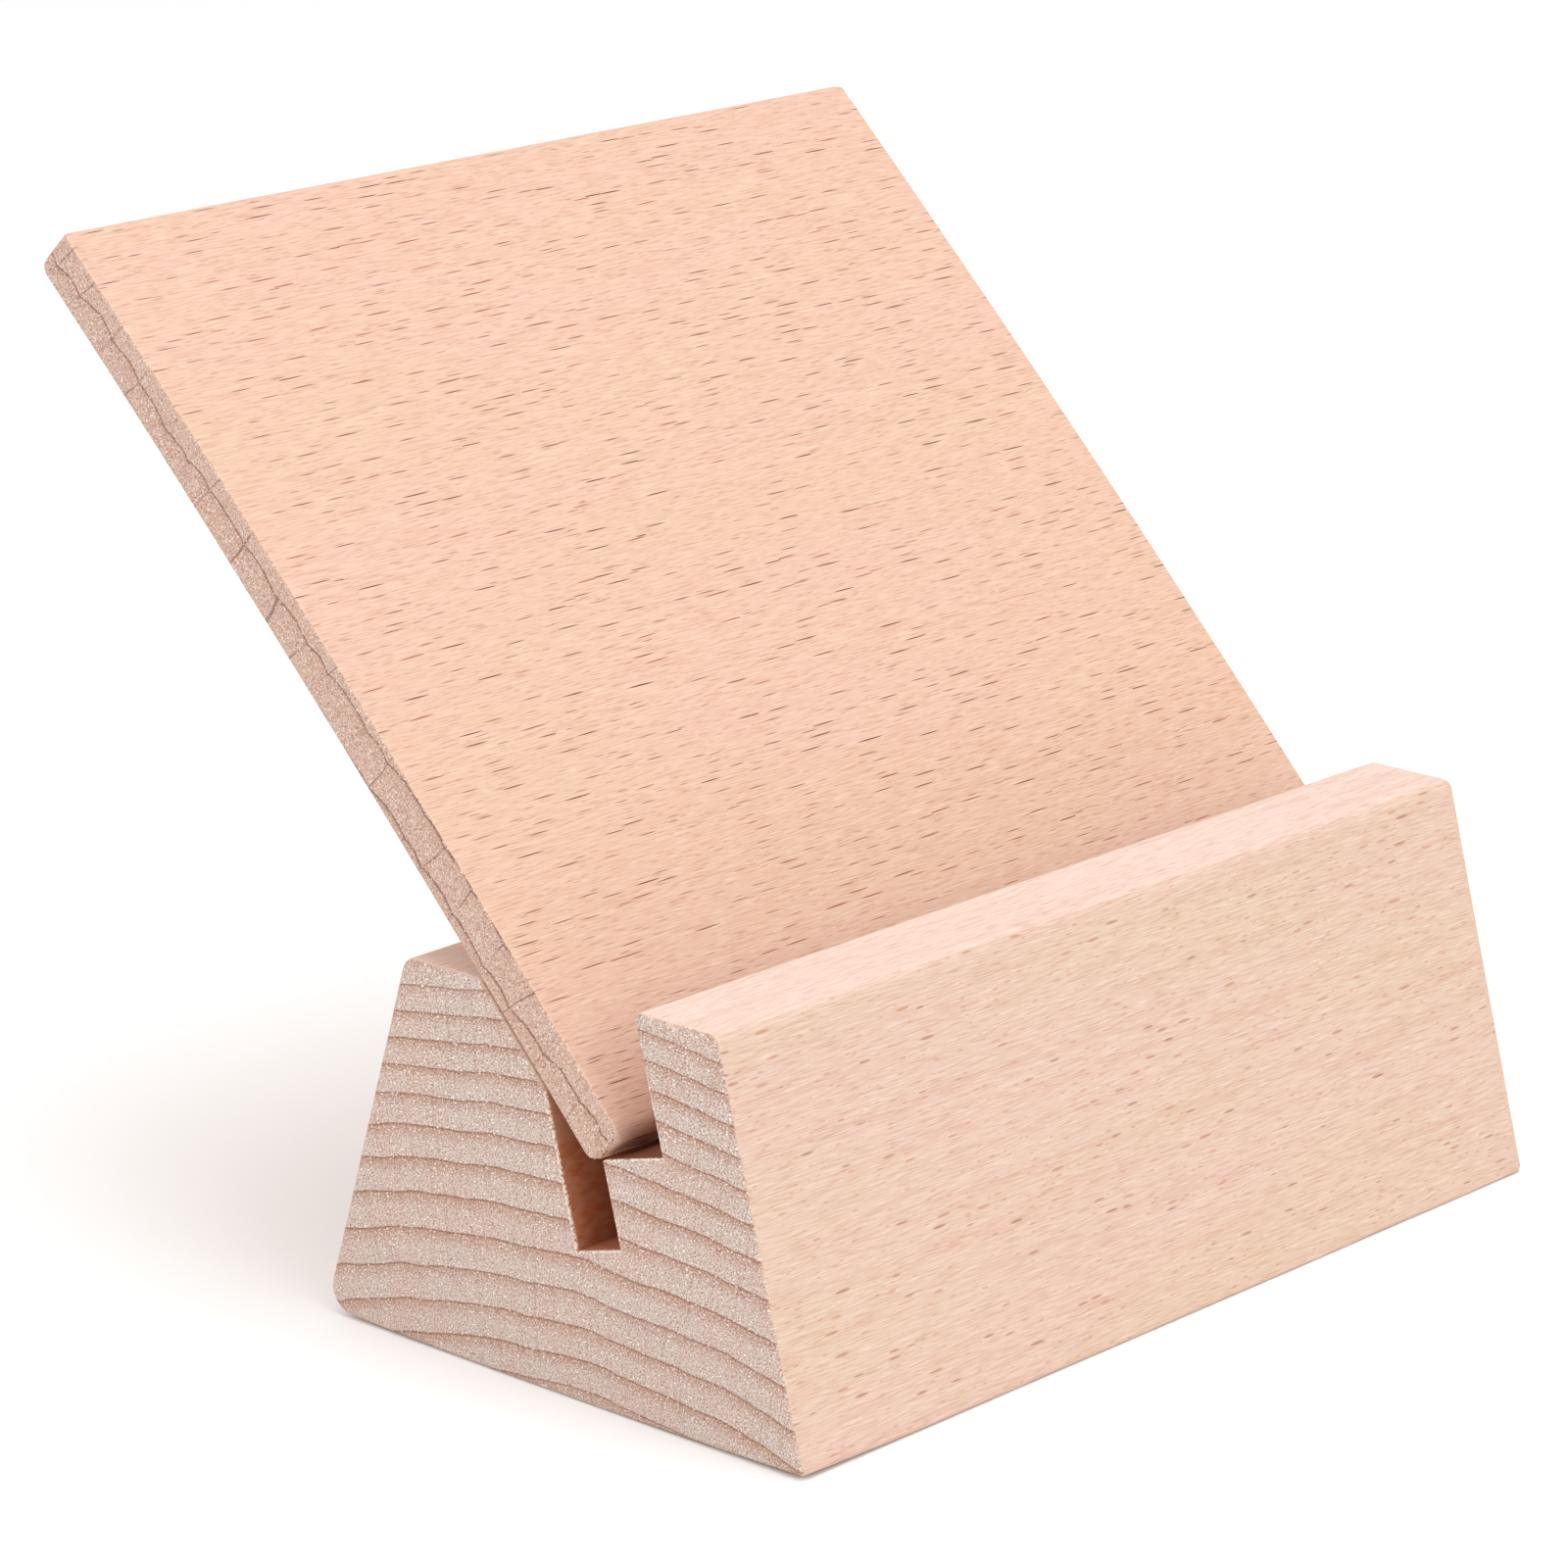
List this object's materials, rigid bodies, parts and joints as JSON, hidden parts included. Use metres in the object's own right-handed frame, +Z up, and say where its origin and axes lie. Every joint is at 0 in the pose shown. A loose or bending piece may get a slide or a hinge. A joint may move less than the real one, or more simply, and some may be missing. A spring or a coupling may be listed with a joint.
{
  "type": "tablet stand",
  "caption": "Solid hardwood block with a stepped tilted groove, holding a loose thin board that leans back at 45 degrees to carry a tablet or phone.",
  "frame": {"origin": "centre of the block's footprint, on the surface it stands on", "axes": "+X along the block's length, -Y out of the lip's front face, +Z up"},
  "size_m": [0.1318, 0.1161, 0.1181],
  "materials": {
    "block_wood": "bare sanded",
    "board_wood": "bare sanded"
  },
  "bodies": {
    "block": {"base_block": "block_wood"},
    "board": {"back_board": "board_wood"}
  },
  "joints": [
    {"name": "board_lift", "type": "slide", "parent": "block", "child": "board", "axis": [0, 0.6896, 0.7242], "range_m": [0, 0.045]}
  ]
}
